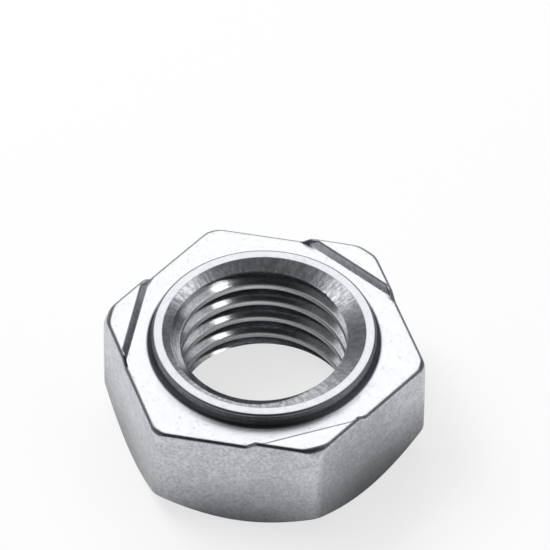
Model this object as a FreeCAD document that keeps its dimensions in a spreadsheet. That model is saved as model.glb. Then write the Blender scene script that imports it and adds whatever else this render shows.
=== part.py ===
import FreeCAD, Part
import math
import os
import Sketcher

# Hexagon weld nut, one cold-formed piece of stainless steel.
# The bearing face lies on z = 0, the weld face looks up (+Z) and the thread axis is Z.
# Two hexagon corners lie on the X axis, so the flats at the front and back face -Y and +Y.
# Lengths are in millimetres and angles in degrees.

# Driving sizes, each written once
SIZES = {
    "across_flats": "24",
    "corner_radius": "1.1",
    "body_height": "9.8",
    "bearing_inset": "0.6",
    "bearing_bevel_angle": "42.5",
    "collar_diameter": "18.8",
    "collar_height": "1.15",
    "collar_shoulder": "0.2",
    "rim_width": "0.65",
    "countersink_angle": "140",
    "thread_diameter": "16",
    "thread_pitch": "2",
    "minor_allowance": "0.1",
    "back_countersink_diameter": "17.6",
    "back_countersink_angle": "90",
    "projection_count": "3",
    "projection_height": "0.55",
    "projection_gap": "1.45",
    "projection_wall_lean": "36",
    "corner_set_back": "0.62",
    "corner_bevel_lean": "25",
    "crest_edge_radius": "0.25",
    "wall_foot_radius": "0.15",
    "collar_foot_radius": "0.4",
}

doc = FreeCAD.newDocument("HexWeldNut")
sheet = doc.addObject("Spreadsheet::Sheet", "Sizes")
for row, (alias, text) in enumerate(SIZES.items(), start=1):
    sheet.set(f"A{row}", alias)
    sheet.set(f"B{row}", text)
    sheet.setAlias(f"B{row}", alias)
doc.recompute()


def size(alias):
    """A driving size as a number, for the first place of a sketch's points."""
    return float(SIZES[alias])


def rad(alias):
    """A driving angle in radians."""
    return math.radians(size(alias))


# Sizes that follow from the driving ones, as numbers and as the expressions that keep them
FLAT = size("across_flats") / 2
FLAT_EXPR = "Sizes.across_flats / 2"
# Where two flats would meet if the corner were sharp
TIP = FLAT / math.cos(math.radians(30))
TIP_EXPR = "Sizes.across_flats / 2 / cos(30deg)"
# The turned blank reaches past every corner, and the flats are cut from it
BLANK = TIP + size("corner_radius")
BLANK_EXPR = f"({TIP_EXPR} + Sizes.corner_radius)"
TOP = size("body_height") + size("collar_height")
TOP_EXPR = "Sizes.body_height + Sizes.collar_height"
CREST = size("body_height") + size("projection_height")
CREST_EXPR = "Sizes.body_height + Sizes.projection_height"
# The bore is the thread's minor diameter: nominal size less 1.0825 pitches, plus the allowance
BORE = (size("thread_diameter") - 1.0825 * size("thread_pitch") + size("minor_allowance")) / 2
BORE_EXPR = "(Sizes.thread_diameter - 1.0825 * Sizes.thread_pitch + Sizes.minor_allowance) / 2"

body = doc.addObject("PartDesign::Body", "WeldNut")
body.Label = "hex_weld_nut"
body.Placement = FreeCAD.Placement()


def origin_item(role):
    """One of the body's own origin planes or axes."""
    return next(item for item in body.Origin.OriginFeatures if item.Role == role)


def new_sketch(name, plane):
    """An empty sketch of the body on one of its origin planes."""
    sketch = body.newObject("Sketcher::SketchObject", name)
    sketch.AttachmentSupport = (origin_item(plane), [""])
    sketch.MapMode = "FlatFace"
    return sketch


def closed_lines(sketch, points):
    """Straight sides joined end to end; returns the index of each side."""
    vectors = [FreeCAD.Vector(x, y, 0) for x, y in points]
    sides = []
    for start, end in zip(vectors, vectors[1:] + vectors[:1]):
        sides.append(sketch.addGeometry(Part.LineSegment(start, end), False))
    for side, following in zip(sides, sides[1:] + sides[:1]):
        sketch.addConstraint(Sketcher.Constraint("Coincident", side, 2, following, 1))
    return sides


def hold(sketch, kind, name, expression, *where):
    """A dimension of the sketch, named and bound to the sheet."""
    index = sketch.addConstraint(Sketcher.Constraint(kind, *where))
    sketch.renameConstraint(index, name)
    sketch.setExpression(f"Constraints.{name}", expression)


def across(sketch, side, name, expression, value):
    """Distance of a side's first point from the axis."""
    hold(sketch, "DistanceX", name, expression, -1, 1, side, 1, value)


def above(sketch, side, name, expression, value):
    """Height of a side's first point over the bearing face."""
    hold(sketch, "DistanceY", name, expression, -1, 1, side, 1, value)


# Turned blank: bearing face with its bevel, weld face, pilot collar, countersinks and bore.
# The section runs from the inner edge of the bearing face outwards and up, then back down the bore.
BACK = size("back_countersink_diameter") / 2
BACK_DEPTH = (BACK - BORE) / math.tan(rad("back_countersink_angle") / 2)
BEARING = FLAT - size("bearing_inset")
BEARING_EXPR = f"({FLAT_EXPR} - Sizes.bearing_inset)"
BEVEL_RISE = (BLANK - BEARING) * math.tan(rad("bearing_bevel_angle"))
COLLAR = size("collar_diameter") / 2
SHOULDER = size("collar_shoulder")
MOUTH = COLLAR - SHOULDER - size("rim_width")
MOUTH_EXPR = "(Sizes.collar_diameter / 2 - Sizes.collar_shoulder - Sizes.rim_width)"
MOUTH_DEPTH = (MOUTH - BORE) / math.tan(rad("countersink_angle") / 2)

section = new_sketch("TurnedSection", "XZ_Plane")
corners = [
    (BACK, 0),
    (BEARING, 0),
    (BLANK, BEVEL_RISE),
    (BLANK, size("body_height")),
    (COLLAR, size("body_height")),
    (COLLAR, TOP - SHOULDER),
    (COLLAR - SHOULDER, TOP),
    (MOUTH, TOP),
    (BORE, TOP - MOUTH_DEPTH),
    (BORE, BACK_DEPTH),
]
vectors = [FreeCAD.Vector(x, y, 0) for x, y in corners]
centre = FreeCAD.Vector(COLLAR - SHOULDER, TOP - SHOULDER, 0)
turned = []
for index, start in enumerate(vectors):
    end = vectors[(index + 1) % len(vectors)]
    if index == 5:
        quarter = Part.ArcOfCircle(Part.Circle(centre, FreeCAD.Vector(0, 0, 1), SHOULDER), 0, math.pi / 2)
        turned.append(section.addGeometry(quarter, False))
    else:
        turned.append(section.addGeometry(Part.LineSegment(start, end), False))
(bearing, bevel, rim, weld, wall, shoulder, land, mouth, bore, back) = turned
for side, following in zip(turned, turned[1:] + turned[:1]):
    if shoulder in (side, following):
        section.addConstraint(Sketcher.Constraint("Tangent", side, 2, following, 1))
    else:
        section.addConstraint(Sketcher.Constraint("Coincident", side, 2, following, 1))
for side in (bearing, weld, land):
    section.addConstraint(Sketcher.Constraint("Horizontal", side))
for side in (rim, wall, bore):
    section.addConstraint(Sketcher.Constraint("Vertical", side))
section.addConstraint(Sketcher.Constraint("PointOnObject", bearing, 1, -1))
across(section, bearing, "back_countersink", "Sizes.back_countersink_diameter / 2", BACK)
across(section, bevel, "bearing_edge", BEARING_EXPR, BEARING)
across(section, rim, "blank", BLANK_EXPR, BLANK)
above(section, weld, "weld_face", "Sizes.body_height", size("body_height"))
across(section, wall, "collar", "Sizes.collar_diameter / 2", COLLAR)
hold(section, "Radius", "shoulder", "Sizes.collar_shoulder", shoulder, SHOULDER)
above(section, mouth, "collar_top", TOP_EXPR, TOP)
across(section, mouth, "countersink", MOUTH_EXPR, MOUTH)
across(section, bore, "bore", BORE_EXPR, BORE)
above(section, rim, "bevel_rise",
      f"({BLANK_EXPR} - {BEARING_EXPR}) * tan(Sizes.bearing_bevel_angle * 1deg)", BEVEL_RISE)
above(section, bore, "countersink_foot",
      f"{TOP_EXPR} - ({MOUTH_EXPR} - {BORE_EXPR}) / tan(Sizes.countersink_angle / 2 * 1deg)",
      TOP - MOUTH_DEPTH)
above(section, back, "back_countersink_foot",
      f"(Sizes.back_countersink_diameter / 2 - {BORE_EXPR})"
      " / tan(Sizes.back_countersink_angle / 2 * 1deg)", BACK_DEPTH)

blank = body.newObject("PartDesign::Revolution", "TurnedBlank")
blank.Profile = section
blank.ReferenceAxis = (section, ["V_Axis"])
blank.Angle = 360
doc.recompute()
blank_volume = body.Shape.Volume

# Weld projections: a low pad over every second corner, with a straight wall that leans outwards
WALL = COLLAR + size("projection_gap")
WALL_EXPR = "(Sizes.collar_diameter / 2 + Sizes.projection_gap)"
LEAN = size("projection_height") * math.tan(rad("projection_wall_lean"))
pad_section = new_sketch("ProjectionSection", "XZ_Plane")
foot, lean, crest, outer = closed_lines(pad_section, [
    (BLANK, size("body_height")),
    (WALL, size("body_height")),
    (WALL + LEAN, CREST),
    (BLANK, CREST),
])
pad_section.addConstraint(Sketcher.Constraint("Horizontal", foot))
pad_section.addConstraint(Sketcher.Constraint("Horizontal", crest))
pad_section.addConstraint(Sketcher.Constraint("Vertical", outer))
above(pad_section, lean, "weld_face", "Sizes.body_height", size("body_height"))
above(pad_section, crest, "crest", CREST_EXPR, CREST)
across(pad_section, lean, "wall_foot", WALL_EXPR, WALL)
across(pad_section, crest, "wall_top",
       f"{WALL_EXPR} + Sizes.projection_height * tan(Sizes.projection_wall_lean * 1deg)", WALL + LEAN)
across(pad_section, outer, "blank", BLANK_EXPR, BLANK)

projection = body.newObject("PartDesign::Pad", "WeldProjection")
projection.Profile = pad_section
projection.SideType = "Symmetric"
projection.setExpression("Length", "Sizes.across_flats")
doc.recompute()

projections = body.newObject("PartDesign::PolarPattern", "WeldProjections")
projections.Originals = [projection]
projections.Axis = (pad_section, ["V_Axis"])
projections.Angle = 360
projections.setExpression("Occurrences", "Sizes.projection_count")
body.Tip = projections
doc.recompute()
padded_volume = body.Shape.Volume
assert padded_volume > blank_volume, "the weld projections added nothing"

# Hexagon: everything outside the six flats and their rounded corners is taken away
hexagon = new_sketch("HexOutline", "XY_Plane")
ROUND = size("corner_radius")
PITCH_ARC = math.radians(60)
HALF_SIDE = (FLAT - ROUND) * math.tan(PITCH_ARC / 2)
flats = []
rounds = []
for turn in range(6):
    facing = PITCH_ARC * turn + math.radians(30)
    normal = FreeCAD.Vector(math.cos(facing), math.sin(facing), 0)
    along = FreeCAD.Vector(-math.sin(facing), math.cos(facing), 0)
    flats.append(hexagon.addGeometry(
        Part.LineSegment(normal * FLAT - along * HALF_SIDE, normal * FLAT + along * HALF_SIDE), False))
    middle = normal * (FLAT - ROUND) + along * HALF_SIDE
    circle = Part.Circle(middle, FreeCAD.Vector(0, 0, 1), ROUND)
    rounds.append(hexagon.addGeometry(Part.ArcOfCircle(circle, facing, facing + PITCH_ARC), False))
for turn in range(6):
    following = flats[(turn + 1) % 6]
    hexagon.addConstraint(Sketcher.Constraint("Tangent", flats[turn], 2, rounds[turn], 1))
    hexagon.addConstraint(Sketcher.Constraint("Tangent", rounds[turn], 2, following, 1))
for turn in range(6):
    hold(hexagon, "Distance", f"flat_{turn}", "Sizes.across_flats / 2", -1, 1, flats[turn], FLAT)
    hold(hexagon, "Radius", f"corner_{turn}", "Sizes.corner_radius", rounds[turn], ROUND)
    hexagon.addConstraint(Sketcher.Constraint("Angle", flats[turn], PITCH_ARC * turn + math.radians(120)))
stock = hexagon.addGeometry(
    Part.Circle(FreeCAD.Vector(0, 0, 0), FreeCAD.Vector(0, 0, 1), size("across_flats")), False)
hexagon.addConstraint(Sketcher.Constraint("Coincident", stock, 3, -1, 1))
hold(hexagon, "Radius", "stock", "Sizes.across_flats", stock, size("across_flats"))

trim = body.newObject("PartDesign::Pocket", "HexFlats")
trim.Profile = hexagon
trim.Type = "ThroughAll"
trim.Reversed = True
doc.recompute()
trimmed_volume = body.Shape.Volume
assert trimmed_volume < padded_volume, "the hexagon cut nothing"

# Corner bevel on the weld side: a steep cone that takes back the corners and the projections' outer ends
CORNER = TIP - size("corner_set_back")
CORNER_EXPR = f"({TIP_EXPR} - Sizes.corner_set_back)"
REACH = (BLANK - CORNER) / math.tan(rad("corner_bevel_lean"))
bevel_section = new_sketch("CornerBevelSection", "XZ_Plane")
slope, side, lid, edge = closed_lines(bevel_section, [
    (CORNER, CREST),
    (BLANK, CREST - REACH),
    (BLANK, CREST + size("projection_height")),
    (CORNER, CREST + size("projection_height")),
])
bevel_section.addConstraint(Sketcher.Constraint("Vertical", side))
bevel_section.addConstraint(Sketcher.Constraint("Horizontal", lid))
bevel_section.addConstraint(Sketcher.Constraint("Vertical", edge))
across(bevel_section, slope, "corner", CORNER_EXPR, CORNER)
above(bevel_section, slope, "crest", CREST_EXPR, CREST)
across(bevel_section, side, "blank", BLANK_EXPR, BLANK)
above(bevel_section, side, "bevel_foot",
      f"{CREST_EXPR} - ({BLANK_EXPR} - {CORNER_EXPR}) / tan(Sizes.corner_bevel_lean * 1deg)", CREST - REACH)
above(bevel_section, lid, "lid", f"{CREST_EXPR} + Sizes.projection_height", CREST + size("projection_height"))

corner_bevel = body.newObject("PartDesign::Groove", "WeldCornerBevel")
corner_bevel.Profile = bevel_section
corner_bevel.ReferenceAxis = (bevel_section, ["V_Axis"])
corner_bevel.Angle = 360
doc.recompute()
bevelled_volume = body.Shape.Volume
assert bevelled_volume < trimmed_volume, "the corner bevel cut nothing"

# Formed edges: radii at the foot of the collar and of the projection walls, and round each crest


def lies_flat(edge, height):
    """An edge that stays at one height."""
    box = edge.BoundBox
    return abs(box.ZMin - height) < 0.001 and abs(box.ZMax - height) < 0.001


def reach_of(edge):
    """Distance of an edge's middle from the axis."""
    middle = edge.valueAt((edge.FirstParameter + edge.LastParameter) / 2)
    return math.hypot(middle.x, middle.y)


def rounding(name, alias, wanted):
    """A fillet on the edges of the body's last feature that pass the test."""
    base = body.Tip
    found = [f"Edge{number}" for number, edge in enumerate(base.Shape.Edges, start=1) if wanted(edge)]
    assert found, f"no edge for {name}"
    fillet = body.newObject("PartDesign::Fillet", name)
    fillet.Base = (base, found)
    fillet.setExpression("Radius", f"Sizes.{alias}")
    doc.recompute()
    return fillet


rounding("CrestEdges", "crest_edge_radius",
         lambda edge: lies_flat(edge, CREST) and reach_of(edge) > (COLLAR + WALL) / 2)
rounding("ProjectionFeet", "wall_foot_radius",
         lambda edge: lies_flat(edge, size("body_height")) and abs(reach_of(edge) - WALL) < 0.001)
rounding("CollarFoot", "collar_foot_radius",
         lambda edge: lies_flat(edge, size("body_height")) and abs(reach_of(edge) - COLLAR) < 0.001)

os.makedirs("parts", exist_ok=True)
print("volume", body.Shape.Volume, "valid", body.Shape.isValid(), "solids", len(body.Shape.Solids))
print("box", body.Shape.BoundBox)
for item in doc.Objects:
    if "Invalid" in item.State or "Error" in item.State:
        raise RuntimeError(f"{item.Name} failed: {item.State}")
body.Shape.exportStep("parts/hex_weld_nut.step")
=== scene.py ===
# %% [markdown]
# A hexagon weld nut, one piece of stainless steel
# The nut is formed cold from a slug of steel: a press gives it six flats, a pilot collar round the
# thread and three low weld projections, and a tap cuts the thread afterwards.
# The solid from the CAD part has all of that but the thread, which is too fine for it. The thread
# could be a bump in the material, but one this coarse has to hide and shade what lies behind it.
# So one new surface stands for the solid here, with the same sizes, a real helical thread and the
# small radii that a press leaves on every edge.

import bpy
import numpy as np
from mathutils import Matrix, Vector


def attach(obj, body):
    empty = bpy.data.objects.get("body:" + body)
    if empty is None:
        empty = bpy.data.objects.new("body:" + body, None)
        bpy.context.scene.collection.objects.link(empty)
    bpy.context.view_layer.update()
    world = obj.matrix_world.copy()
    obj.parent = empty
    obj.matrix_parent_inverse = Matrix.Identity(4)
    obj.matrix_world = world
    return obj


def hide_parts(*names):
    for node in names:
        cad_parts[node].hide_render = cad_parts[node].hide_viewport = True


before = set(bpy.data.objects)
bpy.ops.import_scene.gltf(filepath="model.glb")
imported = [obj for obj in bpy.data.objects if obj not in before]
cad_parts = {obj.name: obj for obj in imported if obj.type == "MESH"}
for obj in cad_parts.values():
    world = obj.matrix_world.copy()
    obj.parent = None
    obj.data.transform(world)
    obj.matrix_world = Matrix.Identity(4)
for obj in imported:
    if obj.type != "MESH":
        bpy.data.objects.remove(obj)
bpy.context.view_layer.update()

# %% [markdown]
# The nut's sizes
# Everything that follows is in millimetres until the mesh is made, because a maker thinks of a
# small nut in millimetres. The names are those of the drawing: the bearing face lies at z = 0, the
# weld face looks up, and two corners of the hexagon lie on the X axis.

# %% Sizes in millimetres
HALF_FLATS = 12.0
CORNER_RADIUS = 1.1
WELD_FACE = 9.8
COLLAR_TOP = 10.95
COLLAR = 9.4
COLLAR_SHOULDER = 0.2
MOUTH = 8.55
MINOR = 6.9675
MAJOR = 8.0
PITCH = 2.0
CREST = 10.35
WALL_FOOT = 10.85
WALL_LEAN = np.radians(36)
CORNER_CONE = 13.236
CORNER_LEAN = np.radians(25)
BEARING = 11.4
BEARING_BEVEL = np.radians(42.5)
BACK_MOUTH = 8.8
COUNTERSINK = np.radians(70)
HALF_SIDE = np.radians(30)
CORNERS = np.radians(np.arange(6) * 60.0)
PROJECTIONS = np.radians([0, 120, 240])
print("height", COLLAR_TOP, "across flats", 2 * HALF_FLATS)

# %% [markdown]
# Roundings
# No edge of a pressed nut is sharp. A Bevel modifier could round them all alike, but they differ,
# so here each is an arc in the section. These are the radii, also in millimetres. The last two are
# widths over which one slope passes softly into the next.

# %% Radii of edges and inner corners
MOUTH_ROUND = 0.15
COLLAR_FOOT = 0.4
WALL_FOOT_ROUND = 0.15
CREST_EDGE_ROUND = 0.25
FACE_EDGE_ROUND = 0.35
BEARING_ROUND = 0.4
BACK_ROUND = 0.1
CONE_BLEND = 0.12
BEVEL_BLEND = 0.10
print("largest edge radius", max(MOUTH_ROUND, CREST_EDGE_ROUND, FACE_EDGE_ROUND, BEARING_ROUND))

# %% [markdown]
# Angles round the nut
# The surface is a grid: one direction goes round the axis, the other goes once round the nut's
# section, up the bore, over the collar, out over the weld face, down a flat and back under it.
# A prism, cones and a tube could also be joined and cut with Booleans, but those leave ragged faces
# where they meet a thread, and a single grid doesn't.
# Its columns stand closer where the outline turns sharply, at the six corners, and where a
# projection's wall runs out on a flat.

# %% Columns of the grid
COLUMNS = 480
FINE_STEPS = 72000
ARC_REACH, ARC_EXTRA = np.radians(2.9), 2.0
WALL_END, WALL_EXTRA = np.radians([19.0, 25.6]), 1.6


def turn_from(angles, marks):
    """Signed angle from the nearest of the marks, for each angle: (angle - mark + half a turn) modulo a
    full turn, less half a turn, and of these the smallest in size."""
    gaps = (angles[:, None] - marks[None, :] + np.pi) % (2 * np.pi) - np.pi
    return gaps[np.arange(len(angles)), np.abs(gaps).argmin(1)]


def spread_columns(count):
    """Angles from 0 to a full turn. Their density is one everywhere, plus more at each corner's arc
    and where a projection's wall meets a flat; equal steps of the density's running sum give them."""
    fine = np.linspace(0, 2 * np.pi, FINE_STEPS + 1)
    corner = np.abs(turn_from(fine, CORNERS))
    end = np.abs(turn_from(fine, PROJECTIONS))
    density = 1 + ARC_EXTRA * (corner < ARC_REACH)
    density = density + WALL_EXTRA * ((end > WALL_END[0]) & (end < WALL_END[1]))
    total = np.concatenate([[0], np.cumsum((density[1:] + density[:-1]) / 2)])
    return np.interp(np.linspace(0, total[-1], count + 1), total, fine)


angle = spread_columns(COLUMNS)
from_corner = turn_from(angle, CORNERS)
from_projection = turn_from(angle, PROJECTIONS)
print("columns", COLUMNS, "widest", round(float(np.degrees(np.diff(angle).max())), 2), "degrees")

# %% [markdown]
# The hexagon's outline
# A cold-formed hexagon has round corners. Seen along the axis, its edge is the line of a flat, at
# 12 mm from the axis, until the corner's arc takes over. Because the grid goes round in angles,
# the outline is written as a distance from the axis for each angle.


# %% Outline seen along the axis
def outline_radius(corner_turn):
    """Distance from the axis to the hexagon's edge: flat distance / cos(angle from the flat's
    middle), and near a corner the far crossing of the ray with the corner's circle."""
    turn = np.abs(corner_turn)
    on_flat = HALF_FLATS / np.cos(HALF_SIDE - turn)
    middle = (HALF_FLATS - CORNER_RADIUS) / np.cos(HALF_SIDE)
    across = middle * np.sin(turn)
    on_arc = middle * np.cos(turn) + np.sqrt(np.maximum(CORNER_RADIUS**2 - across**2, 0))
    tangent = HALF_SIDE - np.arctan((HALF_FLATS - CORNER_RADIUS) * np.tan(HALF_SIDE) / HALF_FLATS)
    return np.where(turn < tangent, on_arc, on_flat)


outline = outline_radius(from_corner)
print("outline from", round(float(outline.min()), 3), "to", round(float(outline.max()), 3))

# %% [markdown]
# The thread
# A right-hand M16 thread with a pitch of 2 mm: a 60 degree ridge that climbs one pitch a turn.
# A Screw modifier could wind such a ridge, but its two ends would have to be closed by hand. Here
# the wall's radius is a formula of height and angle, which ends wherever a countersink begins.
# The grid's lines climb with the thread, so every crest is a clean edge with few points. The phases
# say where they lie within a pitch, close together at the crest's two edges. A crest crosses the X
# axis at the height CREST_AT.

# %% Thread profile
FLANK = np.radians(30)
CREST_AT = 0.032
CREST_HALF = 0.25
CREST_ROUND = 0.07
ROOT_ROUND = 0.12
ROOT_EXTRA = 0.06
PHASES = np.array([-0.5, -0.44, -0.40, -0.33, -0.24, -0.17, -0.145, -0.125, -0.105, -0.08,
                   0.0, 0.08, 0.105, 0.125, 0.145, 0.17, 0.24, 0.33, 0.40, 0.44])


def thread_radius(height, turn):
    """Radius of the threaded wall: the minor radius on the crest, then a flank of 30 degrees off the
    radial plane, radius + distance from the crest's edge / tan 30, and the major radius at the root.
    A soft minimum and maximum round the crest's edges and the root."""
    phase = (height - CREST_AT) / PITCH - turn / (2 * np.pi)
    off = np.abs(phase - np.round(phase)) * PITCH
    flank = (off - CREST_HALF) / np.tan(FLANK)
    lifted = 0.5 * (flank + np.sqrt(flank**2 + CREST_ROUND**2))
    depth = MAJOR + ROOT_EXTRA - MINOR
    low = depth - lifted
    return MINOR + depth - 0.5 * (low + np.sqrt(low**2 + ROOT_ROUND**2))


print("thread depth", round(MAJOR - MINOR, 4), "lines in a pitch", len(PHASES))

# %% [markdown]
# Countersinks over the thread
# Both ends of the bore open in a cone that lets the screw in. The wall is whichever lies farther
# from the axis, the thread or a cone. Where they cross, the nearest grid line is moved onto the
# crossing, so that the run-out of the thread is a clean curve.

# %% Rows of the bore
PAST_ROOT = 0.12
TURNS = np.arange(-1, 6)
throat = (MAJOR + PAST_ROOT, COLLAR_TOP - (MOUTH - MAJOR - PAST_ROOT) / np.tan(COUNTERSINK))
back_throat = (MAJOR + PAST_ROOT, BACK_MOUTH - MAJOR - PAST_ROOT)


def cone_radius(height):
    """Radius of the wider countersink at a height: the 140 degree one opens 2.75 mm for each millimetre
    of height, the 90 degree one of the bearing face closes one for one."""
    front = MOUTH + (height - COLLAR_TOP) * np.tan(COUNTERSINK)
    return np.maximum(front, BACK_MOUTH - height)


def bore_rows():
    """Rows (radius, height) of the bore, from the back countersink to the front one: the height of a
    row is crest height + pitch * (turn + phase + angle / full turn), held between the two throats."""
    steps = (TURNS[:, None] + PHASES[None, :]).ravel()
    height = CREST_AT + PITCH * (steps[:, None] + angle[None, :] / (2 * np.pi))
    height = np.clip(height, back_throat[1], throat[1])
    ahead = thread_radius(height, angle[None, :]) - cone_radius(height)
    crossing = ahead[:-1] * ahead[1:] < 0
    share = ahead[:-1] / np.where(crossing, ahead[:-1] - ahead[1:], 1)
    at = height[:-1] + (height[1:] - height[:-1]) * share
    nearer_low = np.abs(ahead[:-1]) < np.abs(ahead[1:])
    height[:-1] = np.where(crossing & nearer_low, at, height[:-1])
    height[1:] = np.where(crossing & ~nearer_low, at, height[1:])
    return np.maximum(thread_radius(height, angle[None, :]), cone_radius(height)), height


bore_radius, bore_height = bore_rows()
print("bore rows", len(bore_radius), "crest radius", round(float(bore_radius.min()), 3))

# %% [markdown]
# Points and arcs
# Where the section is the same all the way round, it can be written as points and arcs, as on a
# turner's drawing. Three small helpers draw them, and a fourth repeats them in every column.


# %% Helpers for a section
def arc(centre, radius, start, end, count):
    """Points (radius, height) on an arc: centre + radius * (cos, sin) of evenly spaced angles."""
    turn = np.radians(np.linspace(start, end, count))
    return np.stack([centre[0] + radius * np.cos(turn), centre[1] + radius * np.sin(turn)], 1)


def run(start, end, count):
    """Points or rows between two, evenly spaced, without the two: start * (1 - share) + end * share."""
    share = np.linspace(0, 1, count + 2)[1:-1, None]
    return np.array(start) * (1 - share) + np.array(end) * share


def corner_arc(before, corner, after, radius, count):
    """Points of the arc that rounds a profile's corner: it touches both sides at radius * tan(half
    the turn) from the corner. Between them its radius swings evenly: (sin((1 - share) * swing) *
    first + sin(share * swing) * last) / sin(swing)."""
    before, corner, after = (np.array(p, float) for p in (before, corner, after))
    one = (before - corner) / np.linalg.norm(before - corner)
    two = (after - corner) / np.linalg.norm(after - corner)
    half = np.arccos(np.clip(one @ two, -1, 1)) / 2
    middle = corner + (one + two) / np.linalg.norm(one + two) * radius / np.sin(half)
    first = corner + one * radius / np.tan(half) - middle
    last = corner + two * radius / np.tan(half) - middle
    share = np.linspace(0, 1, count)[:, None]
    swing = np.arccos(np.clip(first @ last / radius**2, -1, 1))
    return middle + (np.sin((1 - share) * swing) * first + np.sin(share * swing) * last) / np.sin(swing)


def round_rows(points):
    """The same points in every column: an array of radii and one of heights."""
    points = np.asarray(points, float)
    return np.repeat(points[:, :1], COLUMNS + 1, 1), np.repeat(points[:, 1:], COLUMNS + 1, 1)


print("an arc of a quarter turn", arc((0, 0), 1, start=90, end=0, count=3).round(3).tolist())

# %% [markdown]
# Collar and countersink
# The collar centres the nut in its hole. Its rim is a narrow flat land between the countersink and
# a rounded shoulder, and a hollow curve joins its foot to the weld face. A profile spun round the
# axis would make a collar of its own; as rows of the grid it grows out of the nut without a seam.

# %% Rows of the collar
mouth_edge = corner_arc(throat, (MOUTH, COLLAR_TOP), (COLLAR, COLLAR_TOP), MOUTH_ROUND, count=4)
shoulder = arc((COLLAR - COLLAR_SHOULDER, COLLAR_TOP - COLLAR_SHOULDER), COLLAR_SHOULDER,
               start=90, end=0, count=9)
collar_foot = arc((COLLAR + COLLAR_FOOT, WELD_FACE + COLLAR_FOOT), COLLAR_FOOT,
                  start=180, end=270, count=5)
collar_rows = round_rows(np.concatenate([
    run(throat, mouth_edge[0], count=4), mouth_edge, run(mouth_edge[-1], shoulder[0], count=1),
    shoulder, run(shoulder[-1], collar_foot[0], count=2), collar_foot]))
print("collar rows", len(collar_rows[0]))

# %% [markdown]
# Weld projections
# Three corners carry a projection, about half a millimetre high. It melts when the nut is welded
# down. Its inner wall is straight, square to the corner's direction, and leans back by 36 degrees,
# so its height depends only on the distance along that direction. It could be a block that is
# joined on, but a height over the weld face gives its soft foot and its rounded crest as well.


# %% Profile of a projection's wall
def wall_profile():
    """Distance along the corner's direction and height above the weld face: foot arc, leaning wall
    and crest arc. The wall's top lies its height * tan(lean) farther out than its foot."""
    rise = CREST - WELD_FACE
    top = (WALL_FOOT + rise * np.tan(WALL_LEAN), rise)
    foot = corner_arc((WALL_FOOT - 1, 0), (WALL_FOOT, 0), top, WALL_FOOT_ROUND, count=5)
    crest = corner_arc((WALL_FOOT, 0), top, (top[0] + 1, rise), CREST_EDGE_ROUND, count=6)
    return np.concatenate([foot, run(foot[-1], crest[0], count=2), crest])


wall = wall_profile()
along = np.cos(from_projection)


def weld_height(radius):
    """Height of the top surface over the bearing face: the weld face's height + the wall profile's
    at the distance along the corner's direction, which is radius * cos(angle from it)."""
    return WELD_FACE + np.interp(radius * along, wall[:, 0], wall[:, 1])


print("wall points", len(wall), "height", round(float(wall[-1, 1]), 3))

# %% [markdown]
# The side
# On the weld side a steep cone takes back the six corners, and on the bearing side a bevel of 42.5
# degrees does. On each flat that bevel leaves the well known arc, because a flat is nearest to
# the axis in its middle. The arc needs no drawing: it appears where the smallest of three radii,
# the hexagon's, the cone's and the bevel's, changes from one to another.


# %% Radius of the side
def soft_min(one, two, width):
    """The smaller of two values, with the change between them spread over the width: half of their
    sum, less half the root of (difference squared + width squared)."""
    return 0.5 * (one + two - np.sqrt((one - two) ** 2 + width**2))


def side_radius(height, inset=0.0):
    """Radius of the nut's side: the outline, or the corner cone where that is smaller, or the bevel
    of the bearing side. A parallel step inwards scales the hexagon about its axis."""
    hexagon = outline * (1 - inset / HALF_FLATS)
    cone = CORNER_CONE + (CREST - height) * np.tan(CORNER_LEAN)
    upper = soft_min(hexagon, cone - inset, CONE_BLEND)
    return soft_min(upper, BEARING + height / np.tan(BEARING_BEVEL), BEVEL_BLEND)


print("side at the weld face", round(float(side_radius(WELD_FACE).max()), 3))

# %% [markdown]
# Weld face and its outer edge
# The weld face runs from the collar's foot to the walls, over the crests and to a rounded outer
# edge. Away from a projection the wall's rows close up at the edge and vanish.

# %% Rows over the weld face
edge_turn = np.radians(np.linspace(90, 0, 7))[:, None]
edge_height = weld_height(outline) - FACE_EDGE_ROUND * (1 - np.sin(edge_turn))
edge_radius = side_radius(edge_height, FACE_EDGE_ROUND * (1 - np.cos(edge_turn)))
limit = edge_radius[0]
face_end = np.minimum(wall[0, 0] / along, limit)
wall_radius = np.minimum(wall[:, :1] / along, limit)
top_radius = np.concatenate([
    run(COLLAR + COLLAR_FOOT, face_end, count=7), wall_radius, run(wall_radius[-1], limit, count=4)])
top_rows = (top_radius, weld_height(top_radius))
edge_rows = (edge_radius, edge_height)
print("weld face rows", len(top_radius), "edge rows", len(edge_radius))

# %% [markdown]
# Down the side
# A flat needs few rows, because it is straight. They stand close together only where the corner
# cone ends and where the bevel begins, so that both lines stay crisp.

# %% Rows down the side
CONE_STEPS = np.array([0.10, 0.04, -0.02, -0.09, -0.2])[:, None]
BEVEL_STEPS = np.array([0.22, 0.12, 0.05, -0.01, -0.07, -0.15])[:, None]
CONE_LOWEST, BELOW_EDGE = 6.5, 0.15
LAST_ROW = 0.14


def side_rows():
    """Rows (radius, height) between the top edge and the bearing face. The corner cone ends where its
    radius is the outline's, and the bevel begins at (outline - bearing radius) * tan(bevel)."""
    top = edge_height[-1]
    cone_end = CREST - (outline - CORNER_CONE) / np.tan(CORNER_LEAN)
    cone = np.clip(cone_end, CONE_LOWEST, top - BELOW_EDGE) + CONE_STEPS
    low = (outline - BEARING) * np.tan(BEARING_BEVEL) + BEVEL_STEPS
    height = np.concatenate([
        run(top, cone[0], count=3), cone, run(cone[-1], low[0], count=4), low,
        run(low[-1], LAST_ROW, count=4)])
    return side_radius(height), height


flank_rows = side_rows()
print("side rows", len(flank_rows[0]))

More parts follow.
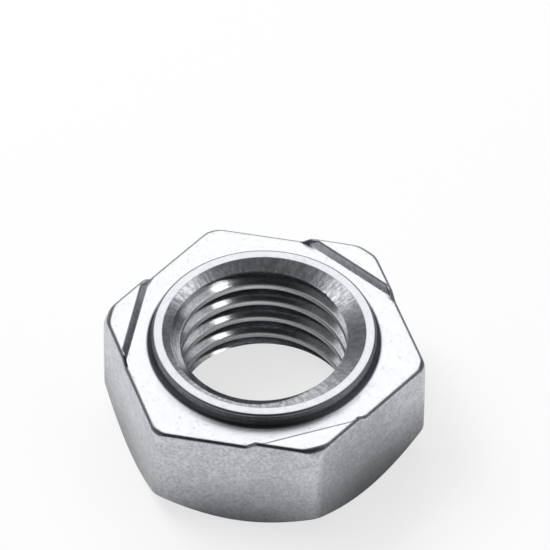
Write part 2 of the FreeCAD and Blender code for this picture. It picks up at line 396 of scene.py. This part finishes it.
# %% [markdown]
# Under the nut
# The bearing face is a flat ring between the rounded foot of the bevel and the back countersink,
# which runs down to the root of the thread. There the section closes.

# %% Rows under the nut
bearing_edge = corner_arc((BEARING + 1, np.tan(BEARING_BEVEL)), (BEARING, 0), (BACK_MOUTH, 0),
                          BEARING_ROUND, count=6)
back_edge = corner_arc((BEARING, 0), (BACK_MOUTH, 0), (MAJOR, BACK_MOUTH - MAJOR),
                       BACK_ROUND, count=4)
under_rows = round_rows(np.concatenate([
    bearing_edge, run(bearing_edge[-1], back_edge[0], count=4), back_edge,
    run(back_edge[-1], back_throat, count=3)]))
rows = [(bore_radius, bore_height), collar_rows, top_rows, edge_rows, flank_rows, under_rows]
radius = np.concatenate([r for r, h in rows])
height = np.concatenate([h for r, h in rows])
print("rows in all", len(radius), "reach", round(float(radius.max()), 3))

# %% [markdown]
# From the grid to a mesh
# The grid closes on itself both ways. The thread's lines arrive one pitch higher after a full turn,
# so the columns at 0 and 360 degrees are joined by place and not by number: equal points become
# one, and faces that have shrunk to a line are left out. Points are equal when they agree to a
# twenty-thousandth of a millimetre. A list of faces could go in with from_pydata; foreach_set
# takes whole arrays at once, which is much faster.

# %% A closed mesh
METRE = 0.001
MERGE_STEPS = 2e4


def grid_mesh(name, x, y, z):
    """A closed mesh from three equal arrays. Rows join end to end; points at one place are merged;
    each cell becomes a face of four or three corners, taken in the order that faces outwards."""
    places = np.stack([x, y, z], -1).reshape(-1, 3)
    keys = np.round(places * MERGE_STEPS).astype(np.int64)
    first, where = np.unique(keys, axis=0, return_index=True, return_inverse=True)[1:]
    below = where.reshape(x.shape)
    above = np.roll(below, -1, 0)
    cells = np.stack([below[:, :-1], above[:, :-1], above[:, 1:], below[:, 1:]], -1).reshape(-1, 4)
    same = cells == np.roll(cells, -1, 1)
    crossed = (cells[:, 0] == cells[:, 2]) | (cells[:, 1] == cells[:, 3])
    sound = ~crossed & (same.sum(1) < 2)
    cells, same = cells[sound], same[sound]
    corners = cells.ravel()[~same.ravel()]
    starts = np.concatenate([[0], np.cumsum(4 - same.sum(1))[:-1]])
    mesh = bpy.data.meshes.new(name)
    mesh.vertices.add(len(first))
    mesh.vertices.foreach_set("co", (places[first] * METRE).astype(np.float32).ravel())
    mesh.loops.add(len(corners))
    mesh.loops.foreach_set("vertex_index", corners.astype(np.int32))
    mesh.polygons.add(len(starts))
    mesh.polygons.foreach_set("loop_start", starts.astype(np.int32))
    mesh.update(calc_edges=True)
    mesh.validate()
    return mesh


nut_mesh = grid_mesh("hex_weld_nut_steel", radius * np.cos(angle), radius * np.sin(angle), height)
print("points", len(nut_mesh.vertices), "faces", len(nut_mesh.polygons))

# %% [markdown]
# Which way the faces look
# Every face has an outer side. A render doesn't show that it looks inwards, because it turns such
# a face to the viewer. In Blender's window the Face Orientation overlay shows it; a script can
# measure the volume, which comes out negative when the mesh is inside out.


# %% Volume of the mesh
def enclosed_volume(mesh):
    """Volume inside a closed mesh: a sixth of the sum of first . (second x third corner) over its
    triangles. It is positive only where the faces point outwards."""
    mesh.calc_loop_triangles()
    corners = np.empty(3 * len(mesh.loop_triangles), np.int32)
    mesh.loop_triangles.foreach_get("vertices", corners)
    places = np.empty(3 * len(mesh.vertices), np.float32)
    mesh.vertices.foreach_get("co", places)
    triangles = places.reshape(-1, 3).astype(float)[corners.reshape(-1, 3)]
    first, second, third = np.moveaxis(triangles, 1, 0)
    return float((first * np.cross(second, third)).sum() / 6)


volume = enclosed_volume(nut_mesh) / METRE**3
print("volume", round(volume, 1), "mm3, faces point outwards:", volume > 0)

# %% [markdown]
# The nut in the frame
# The new surface rides on the part's only body and stands for its only node. It is shaded smooth,
# but an edge stays sharp where two faces meet at more than 38 degrees.

# %% The finished nut
SHARP = np.radians(38)
nut_mesh.shade_smooth()
nut_mesh.set_sharp_from_angle(angle=SHARP)
nut = bpy.data.objects.new("hex_weld_nut_steel", nut_mesh)
bpy.context.scene.collection.objects.link(nut)
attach(nut, "root")
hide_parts("hex_weld_nut")
print("triangles", sum(len(p.vertices) - 2 for p in nut_mesh.polygons))

# %% [markdown]
# Shader arithmetic
# A finish is easier to read as sums than as a web of nodes, and the nodes are the same as those
# wired by hand. One small class holds an output of a node; adding or multiplying two of them adds
# the node that does it. A mask is such a value: 1 where a finish lies, and 0 elsewhere.


# %% A value on its way through the shader
class Wire:
    """An output socket of the shader being made, with the signs of arithmetic."""

    tree = None

    def __init__(self, socket):
        self.socket = socket

    @classmethod
    def node(cls, kind, settings=(), sockets=(), output=0):
        """A new node: its settings first, then the value or link of each socket. Gives one of its
        outputs, or nothing for a node that has none."""
        made = cls.tree.nodes.new(kind)
        for name, value in dict(settings).items():
            setattr(made, name, value)
        for name, value in dict(sockets).items():
            if isinstance(value, Wire):
                cls.tree.links.new(value.socket, made.inputs[name])
            else:
                made.inputs[name].default_value = value
        return cls(made.outputs[output]) if made.outputs else None

    def beside(self, output):
        """Another output of the same node."""
        return Wire(self.socket.node.outputs[output])

    def math(self, operation, *others):
        """One Math node, with this value in its first socket."""
        sockets = dict(enumerate((self, *others)))
        return Wire.node("ShaderNodeMath", {"operation": operation}, sockets)

    def __add__(self, other):
        return self.math("ADD", other)

    def __sub__(self, other):
        return self.math("SUBTRACT", other)

    def __mul__(self, other):
        return self.math("MULTIPLY", other)

    def __rsub__(self, other):
        return (self * -1.0) + other

    __radd__ = __add__
    __rmul__ = __mul__

    def most(self, other):
        """The greater of two values, which joins two masks."""
        return self.math("MAXIMUM", other)

    def between(self, low, high):
        """0 below low, 1 above high, and a smooth rise between."""
        return Wire.node("ShaderNodeMapRange", {"interpolation_type": "SMOOTHSTEP"},
                         {"Value": self, "From Min": low, "From Max": high})

    def around(self, middle, inner, outer):
        """1 within the inner distance from a middle value, and 0 beyond the outer distance."""
        return 1 - (self - middle).math("ABSOLUTE").between(inner, outer)


print("shader arithmetic ready")

# %% [markdown]
# Colours, vectors and clouds
# Four more helpers: one empties a shader, one blends two colours, one does a step of vector
# arithmetic, and one makes the soft noise from which a skin of steel is built up.


# %% Helpers for a finish
def start_shader(owner):
    """Empty the nodes of a material or a world, and let the next ones grow there."""
    owner.use_nodes = True
    owner.node_tree.nodes.clear()
    Wire.tree = owner.node_tree
    return owner


def blend(share, one, two):
    """The first colour where the share is 0, and the second where it is 1."""
    return Wire.node("ShaderNodeMix", {"data_type": "RGBA"}, {0: share, 6: one, 7: two}, output=2)


def vector_math(operation, sockets, output=0):
    """One step of vector arithmetic."""
    return Wire.node("ShaderNodeVectorMath", {"operation": operation}, sockets, output=output)


def cloud(spot, scale, detail, roughness=0.5):
    """Noise from 0 to 1, with so many features for each unit of the spot."""
    return Wire.node("ShaderNodeTexNoise", (), {
        "Vector": spot, "Scale": scale, "Detail": detail, "Roughness": roughness})


print("finish helpers ready")

# %% [markdown]
# Where each finish lies
# The outside of the nut is pressed, the countersinks are turned and the thread is tapped, and each
# shows it. Three materials could share the faces, but real finishes run into each other. So one
# material reads the place on the nut, in millimetres from Object coordinates, and mixes them. The
# thread lies inside the mouth and under the slope of the countersink, which is 1 / tan 70 degrees.
# Each pair of numbers is the range over which a mask rises from 0 to 1.

# %% Places on the steel
MILLIMETRES = 1000.0
BORE_EDGE = (MOUTH - 0.10, MOUTH)
SLOPE, SLOPE_HEIGHT = 0.364, (7.75, 7.85)
steel = start_shader(bpy.data.materials.new("cold_formed_stainless"))
place = vector_math("SCALE", {0: Wire.node("ShaderNodeTexCoord", output=3), "Scale": MILLIMETRES})
x = Wire.node("ShaderNodeSeparateXYZ", (), {0: place})
y, z = x.beside(1), x.beside(2)
from_axis = (x * x + y * y).math("SQRT")
bore = 1 - from_axis.between(*BORE_EDGE)
threaded = bore * (1 - (z - SLOPE * from_axis).between(*SLOPE_HEIGHT))
turned = bore - threaded
normal = Wire.node("ShaderNodeNewGeometry", output=1)
facing_up = Wire.node("ShaderNodeSeparateXYZ", (), {0: normal}, output=2)
print("bore up to", BORE_EDGE[1], "mm from the axis")

# %% [markdown]
# Clouds of the pressed skin, marks of the tools
# A cold press leaves a satin skin: soft clouds, a finer mottle, grain, and pits where the slug did
# not meet the die. The countersink's tool leaves streaks that run outwards, and the tap leaves
# rings. Those two follow the direction and the distance from the axis, so they bend round the bore.
# An image of worn steel could be laid on, but it would need a seam somewhere; noise in space has
# none.

# %% Clouds, streaks and rings
outward = vector_math("NORMALIZE", {0: Wire.node("ShaderNodeCombineXYZ", (), {0: x, 1: y, 2: 0.0})})


def round_noise(turns, across, detail):
    """Noise of the direction from the axis, turns features a radian, and of the distance from the
    axis, across features a millimetre."""
    wide = vector_math("SCALE", {0: outward, "Scale": turns})
    lift = Wire.node("ShaderNodeCombineXYZ", (), {0: 0.0, 1: 0.0, 2: from_axis * across})
    return cloud(vector_math("ADD", {0: wide, 1: lift}), scale=1.0, detail=detail, roughness=0.6)


broad = cloud(place, scale=0.25, detail=3.0)
patchy = cloud(place, scale=1.2, detail=4.0)
mottle = cloud(place, scale=3.2, detail=2.0)
grain = cloud(place, scale=7.0, detail=3.0, roughness=0.6)
pits = cloud(place, scale=4.0, detail=2.0).between(0.60, 0.72)
streaks = round_noise(turns=26.0, across=1.2, detail=3.0)
rings = round_noise(turns=1.6, across=5.0, detail=2.0)
print("nodes for the noises", len(steel.node_tree.nodes))

# %% [markdown]
# Colour of the steel
# A metal's Base Color is what it mirrors: for stainless steel a grey with a little blue. The clouds
# shift it between a darker and a lighter one. The weld face was pressed flat against a polished
# die, so it is lighter and more even.

# %% Steel between dark and light
DARK_STEEL = (0.455, 0.467, 0.49, 1)
LIGHT_STEEL = (0.69, 0.703, 0.73, 1)
FLAT_FACE = (0.90, 0.98)
TONE_RANGE = (0.39, 0.61)
pressed = 0.75 * facing_up.between(*FLAT_FACE)
tone = 0.2 * broad + 0.15 * patchy + 0.35 * mottle + 0.3 * grain
colour = blend(tone.between(*TONE_RANGE).most(pressed), DARK_STEEL, LIGHT_STEEL)
print("steel from", DARK_STEEL[:3], "to", LIGHT_STEEL[:3])

# %% [markdown]
# Painted shade on the collar, in the thread and low on the sides
# The foot of the collar, the line of its shoulder, the rim's edge at the mouth, the roots of the thread
# and the low part of the sides are painted darker. This is painted shade: shade gathers in the inner
# corners, and edges mirror little. An Ambient Occlusion node could find such places, but it is slow
# and doesn't know a rim from a root. Heights and distances from the axis, in millimetres, do.

# %% Painted shade and tool marks round the axis
LOW_SHADE_HEIGHTS = (-2.0, 7.4)
# Painted shade in the hollow at the collar's foot.
painted_collar_foot_shade = from_axis.around(COLLAR + 0.18, 0.13, 0.36) * z.between(WELD_FACE - 0.3, WELD_FACE - 0.1)
painted_collar_foot_shade = painted_collar_foot_shade * (1 - z.between(WELD_FACE + 0.3, WELD_FACE + 0.7))
# Painted shade: a thin dark line along the collar's shoulder.
painted_shoulder_shade = from_axis.around(COLLAR - 0.10, 0.06, 0.16)
painted_shoulder_shade = painted_shoulder_shade * z.between(COLLAR_TOP - 0.4, COLLAR_TOP - 0.2)
# Painted shade on the rounded edge of the mouth, varied by the tool's streaks.
painted_mouth_edge_shade = from_axis.between(MOUTH - 0.05, MOUTH + 0.05) * z.between(COLLAR_TOP - 0.10, COLLAR_TOP - 0.02)
painted_mouth_edge_shade = painted_mouth_edge_shade * (0.06 + 0.16 * streaks)
# Painted shade in the roots of the thread, where the ridge above hides them.
root = threaded * from_axis.between(MAJOR - 0.6, MAJOR - 0.3)
root = root * (1 - z.between(COLLAR_TOP - 0.85, COLLAR_TOP - 0.65))
# Painted shade: the sides grow darker towards the bottom.
painted_low_shade = (1 - z.between(*LOW_SHADE_HEIGHTS)) * (1 - bore)
streaked = streaks.between(0.35, 0.65) * turned + rings.between(0.45, 0.70) * threaded
print("nodes with the marks round the axis", len(steel.node_tree.nodes))

# %% [markdown]
# Painted shade on the edges of the hexagon and of the projections
# A rounded edge shows as a thin dark line where it mirrors little; here that line is painted shade.
# The hexagon's is found by its slope, between level and steep, and by its distance across the flats;
# that of a projection's crest by the distance along its corner's direction.

# %% Painted shade along the edges
SIN_60, COS_60 = 0.866, 0.5
EDGE_SLOPES = (0.48, 0.60), (0.92, 0.99)
CORNER_ENDS = (12.8, 12.95)
CREST_LINE = 11.27
out_along = x.most(SIN_60 * y - COS_60 * x).most(-SIN_60 * y - COS_60 * x)
across_flats = y.math("ABSOLUTE").most((SIN_60 * x + COS_60 * y).math("ABSOLUTE"))
across_flats = across_flats.most((SIN_60 * x - COS_60 * y).math("ABSOLUTE"))
# Painted shade on the hexagon's rounded top edge.
edge = facing_up.between(*EDGE_SLOPES[0]) * (1 - facing_up.between(*EDGE_SLOPES[1]))
outermost = across_flats.between(HALF_FLATS - 0.50, HALF_FLATS - 0.35)
edge = edge * outermost.most(from_axis.between(*CORNER_ENDS))
# Painted shade along the rounded crest of each projection.
painted_crest_shade = out_along.around(CREST_LINE, 0.04, 0.14) * z.between(CREST - 0.15, CREST - 0.07)
print("nodes with the marks along the edges", len(steel.node_tree.nodes))

# %% [markdown]
# Wear, painted shade and a painted highlight
# Each mark has its own strength. The strongest one at a place counts, and not their sum, which
# would turn a spot with two marks black. The crests of the thread are painted lighter: a painted
# highlight.

# %% Colour with its marks, painted shade and a painted highlight
DEEP_SHADE = (0.08, 0.08, 0.088, 1)
PAINTED_CREST_HIGHLIGHT = (0.92, 0.93, 0.95, 1)
CREST_EDGE, CREST_HIGHLIGHT_SHARE = (7.02, 7.12), 0.70
PIT_SHADE = 0.3
# The pits and the tool's streaks and rings belong to the steel; the other masks are painted shade.
wear_and_painted_shade = (pits * PIT_SHADE * (1 - 1.2 * pressed)).most(painted_collar_foot_shade).most(painted_mouth_edge_shade)
for mark, strength in ((painted_shoulder_shade, 0.75), (painted_low_shade, 0.85), (streaked, 0.45),
                       (root, 0.65), (painted_crest_shade, 0.55), (edge, 0.75)):
    wear_and_painted_shade = wear_and_painted_shade.most(mark * strength)
# Painted highlight: the crests of the thread are painted lighter.
crest = threaded * (1 - from_axis.between(*CREST_EDGE))
colour = blend(crest * CREST_HIGHLIGHT_SHARE, blend(wear_and_painted_shade, colour, DEEP_SHADE), PAINTED_CREST_HIGHLIGHT)
print("marks mixed towards", DEEP_SHADE[:3], "crests towards", PAINTED_CREST_HIGHLIGHT[:3])

# %% [markdown]
# Gloss and unevenness
# The pressed skin is satin, the turned and tapped steel smoother. A slight unevenness, three
# hundredths of a millimetre at most, makes reflections waver; it is too small to be modelled.

# %% Roughness, bump and the finished material
BUMP_STRENGTH, BUMP_HEIGHT = 0.35, 0.00003
skin = 0.24 + 0.10 * patchy + 0.06 * grain + 0.08 * pits
tapped = 0.12 + 0.06 * rings + 0.16 * crest
roughness = skin * (1 - bore) + (0.15 + 0.14 * streaks) * turned + tapped * threaded
relief = (0.5 * patchy + 0.35 * grain - 0.5 * pits) * (1 - bore)
relief = relief + 0.8 * streaks * turned + 0.3 * rings * threaded
bump = Wire.node("ShaderNodeBump", (), {
    "Strength": BUMP_STRENGTH, "Distance": BUMP_HEIGHT, "Height": relief})
shine = Wire.node("ShaderNodeBsdfPrincipled", (), {
    "Base Color": colour, "Metallic": 1.0, "Roughness": roughness, "Normal": bump})
Wire.node("ShaderNodeOutputMaterial", (), {0: shine})
nut.data.materials.append(steel)
print("steel nodes", len(steel.node_tree.nodes))

# %% [markdown]
# Floor
# The nut lies on a white sheet that the lamps light and that keeps the nut's shadow. The white of
# the background comes from the sheet itself: Light Path mixes in an even white of strength 1,
# mostly for the camera. Metal and glass get a tenth of it, so that they show the sheet and its
# shadow too.

# %% White sheet
SHEET_HALF, SHEET_DROP = 1.5, 1e-5
CAMERA_WHITE, MIRROR_WHITE = 0.72, 0.10
paper = start_shader(bpy.data.materials.new("white_sheet"))
camera_ray = Wire.node("ShaderNodeLightPath", output="Is Camera Ray")
mirror_ray = camera_ray.beside("Is Glossy Ray") + camera_ray.beside("Is Transmission Ray")
Wire.node("ShaderNodeOutputMaterial", (), {0: Wire.node("ShaderNodeMixShader", (), {
    0: CAMERA_WHITE * camera_ray + MIRROR_WHITE * mirror_ray,
    1: Wire.node("ShaderNodeBsdfDiffuse", (), {"Color": (0.95, 0.95, 0.95, 1)}),
    2: Wire.node("ShaderNodeEmission", (), {"Color": (1, 1, 1, 1), "Strength": 1.0})})})
sheet_mesh = bpy.data.meshes.new("white_sheet")
sheet_corners = [(-1, -1), (1, -1), (1, 1), (-1, 1)]
sheet_mesh.from_pydata([(SHEET_HALF * a, SHEET_HALF * b, -SHEET_DROP) for a, b in sheet_corners],
                       [], [(0, 1, 2, 3)])
sheet_mesh.materials.append(paper)
sheet = bpy.data.objects.new("white_sheet", sheet_mesh)
bpy.context.scene.collection.objects.link(sheet)
print("sheet", 2 * SHEET_HALF, "m")

# %% [markdown]
# Camera
# A long lens looks down at about 47 degrees, over the corner between the two near flats. From far
# away it keeps the near and the far side of a small part almost the same size. The camera's place
# is counted in millimetres from the middle of the weld face, along its own three axes.

# %% Camera at the photograph's angle
AZIMUTH, ELEVATION, ROLL = np.radians([70.79, 47.12, 0.50])
FOCAL_PIXELS, FRAME_PIXELS, SENSOR = 8000.0, 550, 36.0
AIM = np.array([0.909, 5.520, 667.7])
NEAREST, FARTHEST = 0.01, 10.0


def direction(azimuth, elevation):
    """Unit vector towards an azimuth, 0 at -Y and a quarter turn at +X, and an elevation: (sin azimuth
    * cos elevation, -cos azimuth * cos elevation, sin elevation)."""
    level = np.cos(elevation)
    return np.array([np.sin(azimuth) * level, -np.cos(azimuth) * level, np.sin(elevation)])


def camera_axes(azimuth, elevation, roll):
    """Rows: the camera's right, up and back directions. Back points from the nut to the camera, up is
    back x right, and the roll then turns right and up about back."""
    back = direction(azimuth, elevation)
    right = np.array([np.cos(azimuth), np.sin(azimuth), 0.0])
    up = np.cross(back, right)
    return np.stack([np.cos(roll) * right + np.sin(roll) * up,
                     -np.sin(roll) * right + np.cos(roll) * up, back])


axes = camera_axes(AZIMUTH, ELEVATION, ROLL)
camera_place = (axes.T @ AIM + [0, 0, WELD_FACE]) * METRE
camera_data = bpy.data.cameras.new("camera")
camera_data.sensor_width = SENSOR
camera_data.lens = FOCAL_PIXELS / FRAME_PIXELS * SENSOR
camera_data.clip_start, camera_data.clip_end = NEAREST, FARTHEST
camera = bpy.data.objects.new("camera", camera_data)
camera.matrix_world = Matrix.Translation(Vector(camera_place)) @ Matrix(axes.T.tolist()).to_4x4()
bpy.context.scene.collection.objects.link(camera)
bpy.context.scene.camera = camera
print("camera", [round(v, 4) for v in camera.location], "lens", round(camera_data.lens, 1))

# %% [markdown]
# Lamps
# Polished steel shows its lamps, so each stands where one form of the nut mirrors it. A large soft
# panel behind the nut whitens the weld face. Small lamps give the bright spots in the countersink
# and on the thread, and weak panels lighten the sides. Two more light the sheet from behind and
# from the left, so that the nut's shadow falls forwards; steel doesn't mirror them. One strong sun
# could light it all, but polished steel would show that as a single white point.
# The numbers of a lamp are its azimuth and elevation in degrees, its width and depth in metres, and
# its glow.

# %% Lamps round the nut
LAMP_DISTANCE = 0.6
LAMPS = {
    "back_panel": (250.8, 49, 0.36, 0.44, 1.65),
    "backdrop": (250.8, 10, 1.00, 0.18, 0.35),
    "back_left_lamp": (302, 57, 0.15, 0.13, 1.55),
    "back_right_lamp": (199, 57, 0.15, 0.13, 1.5),
    "right_lamp": (153, 59, 0.11, 0.09, 3.0),
    "right_panel": (178, 44, 0.28, 0.20, 0.45),
    "left_panel": (315, 38, 0.30, 0.22, 0.65),
}
SHEET_LAMPS = {
    "back_sheet_lamp": (304, 52, 0.30, 0.30, 6.2),
    "left_sheet_lamp": (335, 68, 0.26, 0.26, 2.6),
}


def panel(name, azimuth, elevation, width, depth, glow):
    """A rectangular lamp that looks at the nut from a direction given by two angles. Its glow is the
    brightness that a mirror would show: power / (pi * area)."""
    lamp = bpy.data.lights.new(name, "AREA")
    lamp.shape = "RECTANGLE"
    lamp.size, lamp.size_y = width, depth
    lamp.energy = glow * np.pi * width * depth
    away = Vector(direction(*np.radians([azimuth, elevation])))
    thing = bpy.data.objects.new(name, lamp)
    thing.location = away * LAMP_DISTANCE
    thing.rotation_mode = "QUATERNION"
    thing.rotation_quaternion = away.to_track_quat("Z", "Y")
    bpy.context.scene.collection.objects.link(thing)
    return thing


for lamp_name, numbers in LAMPS.items():
    panel(lamp_name, *numbers)
for lamp_name, numbers in SHEET_LAMPS.items():
    panel(lamp_name, *numbers).visible_glossy = False
print("lamps", len(LAMPS), "and for the sheet", len(SHEET_LAMPS))

# %% [markdown]
# The room
# What is not a lamp is room. It is light grey near the horizon and to the sides, so that the nut
# looks like steel from every side. It is darker overhead, which the far part of the countersink
# mirrors, and nearly black round the camera, as in a studio, which the thread mirrors.

# %% Light of the room
ROOM_COLOUR = (0.95, 0.97, 1.0, 1)
DIM, LIGHTER, DARKER = 0.17, 0.45, 0.80
room = start_shader(bpy.data.worlds.new("room"))
way = Wire.node("ShaderNodeTexCoord", output=0)
facing = vector_math("DOT_PRODUCT", {0: way, 1: tuple(axes[2])}, output=1)
lift = vector_math("DOT_PRODUCT", {0: way, 1: (0, 0, 1)}, output=1)
low = 1 - lift.between(0.28, 0.45)
side = (1 - lift.between(0.55, 0.75)) * facing.between(0.05, 0.35)
dark = facing.between(0.66, 0.90)
glow = (DIM + LIGHTER * low.most(side)) * (1 - DARKER * dark)
air = Wire.node("ShaderNodeBackground", (), {"Color": ROOM_COLOUR, "Strength": glow})
Wire.node("ShaderNodeOutputWorld", (), {0: air})
bpy.context.scene.world = room
bpy.context.scene.view_settings.view_transform = "Standard"
print("room from", round(DIM * (1 - DARKER), 3), "to", DIM + LIGHTER)
